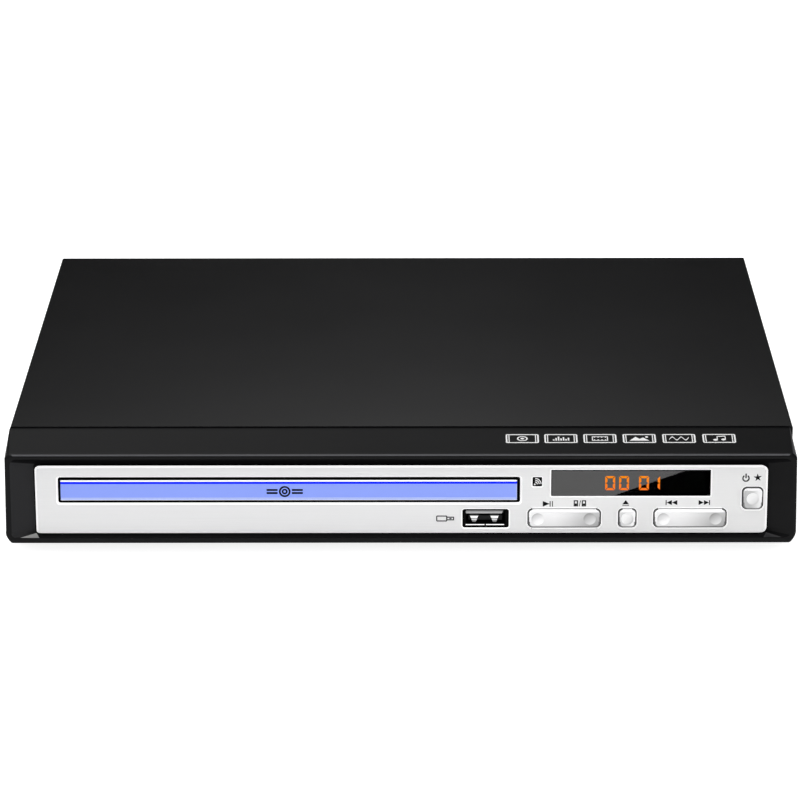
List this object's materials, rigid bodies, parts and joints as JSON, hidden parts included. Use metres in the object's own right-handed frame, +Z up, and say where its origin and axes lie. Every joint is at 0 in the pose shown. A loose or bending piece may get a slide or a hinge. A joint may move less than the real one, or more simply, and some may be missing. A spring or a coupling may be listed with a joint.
{
  "type": "dvd player with tray",
  "caption": "Slim disc player: folded black cover, framed silver front with a powered disc tray, display window, rocker keys and a data socket.",
  "frame": {"origin": "on the table, below the middle of the player's box", "axes": "+X to the right seen from the front, +Y to the back, +Z up; the front faces -Y"},
  "size_m": [0.2572, 0.22, 0.0387],
  "materials": {
    "sheet_zinc": "zinc-coated steel sheet",
    "cover_black": "satin black paint with a fine texture",
    "rear_steel": "zinc-coated steel sheet",
    "bezel_black": "satin black moulded plastic",
    "plate_silver": "pale silver plate, brushed along its length",
    "window_smoke": "smoked clear plastic",
    "rubber_black": "black rubber",
    "screw_black": "blackened steel",
    "screw_zinc": "zinc-plated steel",
    "board_green": "green glass-fibre board",
    "board_tan": "tan paper-based board",
    "part_black": "black moulded plastic",
    "key_silver": "silver-painted plastic",
    "nickel": "nickel-plated metal",
    "loader_plastic": "dark grey moulded plastic",
    "tray_plastic": "black moulded plastic",
    "tray_blue": "pale blue gloss plastic",
    "motor_steel": "plain steel can",
    "acetal": "natural acetal",
    "bridge_steel": "zinc-coated steel sheet",
    "lens_glass": "coated lens",
    "ferrite_yellow": "taped winding on a ferrite core",
    "sleeve_blue": "shrink sleeve",
    "heatsink_metal": "extruded",
    "fuse_glass": "glass tube in plated clips",
    "connector_white": "off-white nylon",
    "jack_yellow": "moulded",
    "jack_white": "moulded",
    "jack_red": "moulded",
    "pin_brass": "turned brass"
  },
  "bodies": {
    "case": {"bottom_chassis": "sheet_zinc", "top_cover": "cover_black", "rear_panel": "rear_steel", "front_bezel": "bezel_black", "front_plate": "plate_silver", "display_window": "window_smoke", "ir_window": "window_smoke", "rubber_feet": "rubber_black", "cover_screws": "screw_black", "chassis_screws": "screw_zinc", "front_board": "board_green", "led_display": "part_black", "key_switches": "part_black", "ir_receiver": "part_black", "usb_shell": "nickel", "usb_tongue": "part_black", "loader_base": "loader_plastic", "loading_motor": "motor_steel", "drive_belt": "rubber_black", "clamp_bridge": "bridge_steel", "damper_bushes": "rubber_black", "power_board": "board_tan", "transformer": "ferrite_yellow", "power_capacitors": "sleeve_blue", "heatsink": "heatsink_metal", "fuse": "fuse_glass", "main_board": "board_green", "board_chips": "part_black", "board_connectors": "connector_white", "av_board": "board_green", "av_jack_block": "part_black", "av_jack_shells": "nickel", "video_jack": "jack_yellow", "audio_left_jack": "jack_white", "audio_right_jack": "jack_red", "mains_inlet": "part_black", "inlet_pins": "pin_brass", "front_ribbon": "connector_white"},
    "tray": {"disc_tray": "tray_plastic", "tray_front": "tray_blue"},
    "drive_gear": {"drive_gear": "acetal"},
    "pulley_gear": {"pulley_gear": "acetal"},
    "motor_pulley": {"motor_pulley": "acetal"},
    "traverse": {"traverse_frame": "loader_plastic", "spindle_motor": "motor_steel", "guide_rods": "nickel", "feed_motor": "motor_steel"},
    "cam": {"cam_slider": "acetal"},
    "turntable": {"turntable": "loader_plastic", "turntable_mat": "rubber_black"},
    "sled": {"pickup_sled": "loader_plastic"},
    "lens": {"lens_holder": "part_black", "objective_lens": "lens_glass"},
    "lead_screw": {"lead_screw": "nickel"},
    "clamp_puck": {"clamp_puck": "loader_plastic"},
    "play_channel_key": {"play_channel_button": "key_silver"},
    "skip_key": {"skip_button": "key_silver"},
    "eject_key": {"eject_button": "key_silver"},
    "power_key": {"power_button": "key_silver"}
  },
  "joints": [
    {"name": "tray_slide", "type": "slide", "parent": "case", "child": "tray", "axis": [0, -1, 0], "range_m": [0, 0.135]},
    {"name": "drive_gear_turn", "type": "hinge", "parent": "case", "child": "drive_gear", "pos_m": [-0.083, -0.078, 0.0165], "axis": [0, 0, 1], "range_deg": [-8, 1112.99]},
    {"name": "pulley_gear_turn", "type": "hinge", "parent": "case", "child": "pulley_gear", "pos_m": [-0.063, -0.078, 0.0155], "axis": [0, 0, 1], "range_deg": [-2598.31, 20]},
    {"name": "motor_pulley_turn", "type": "hinge", "parent": "case", "child": "motor_pulley", "pos_m": [-0.028, -0.08, 0.0164], "axis": [0, 0, 1], "range_deg": [-7794.93, 60]},
    {"name": "traverse_lift", "type": "hinge", "parent": "case", "child": "traverse", "pos_m": [-0.036, 0.054, 0.0145], "axis": [-1, 0, 0], "range_deg": [0, 3.2]},
    {"name": "cam_slide", "type": "slide", "parent": "case", "child": "cam", "axis": [1, 0, 0], "range_m": [-0.0002, 0.0142]},
    {"name": "turntable_spin", "type": "hinge", "parent": "traverse", "child": "turntable", "pos_m": [-0.036, -0.03816, 0.01486], "axis": [0, -0.0558, 0.9984], "continuous": true},
    {"name": "sled_feed", "type": "slide", "parent": "traverse", "child": "sled", "axis": [0, 0.9984, 0.0558], "range_m": [0, 0.031]},
    {"name": "lead_screw_turn", "type": "hinge", "parent": "traverse", "child": "lead_screw", "pos_m": [-0.0625, 0.01007, 0.01204], "axis": [0, 0.9984, 0.0558], "range_deg": [-60, 3780]},
    {"name": "lens_focus", "type": "slide", "parent": "sled", "child": "lens", "axis": [0, -0.0558, 0.9984], "range_m": [-0.0004, 0.0004], "stiffness_N_per_m": 60},
    {"name": "clamp_spin", "type": "hinge", "parent": "case", "child": "clamp_puck", "pos_m": [-0.036, -0.038, 0.029], "axis": [0, 0, 1], "continuous": true},
    {"name": "play_channel_rock", "type": "hinge", "parent": "case", "child": "play_channel_key", "pos_m": [0.05307, -0.102, 0.0126], "axis": [0, 0, 1], "range_deg": [-2, 2], "stiffness_Nm_per_rad": 0.5},
    {"name": "skip_rock", "type": "hinge", "parent": "case", "child": "skip_key", "pos_m": [0.09379, -0.102, 0.0126], "axis": [0, 0, 1], "range_deg": [-2, 2], "stiffness_Nm_per_rad": 0.5},
    {"name": "eject_press", "type": "slide", "parent": "case", "child": "eject_key", "axis": [0, 1, 0], "range_m": [0, 0.0005], "stiffness_N_per_m": 500},
    {"name": "power_press", "type": "slide", "parent": "case", "child": "power_key", "axis": [0, 1, 0], "range_m": [0, 0.0005], "stiffness_N_per_m": 500}
  ],
  "couplings": [
    {"joint": "drive_gear_turn", "follows": "tray_slide", "rad_per_m": 142.86},
    {"joint": "pulley_gear_turn", "follows": "tray_slide", "rad_per_m": -333.33},
    {"joint": "motor_pulley_turn", "follows": "tray_slide", "rad_per_m": -1000},
    {"joint": "cam_slide", "follows": "traverse_lift", "m_per_rad": 0.25067},
    {"joint": "lead_screw_turn", "follows": "sled_feed", "rad_per_m": 2094.4}
  ]
}
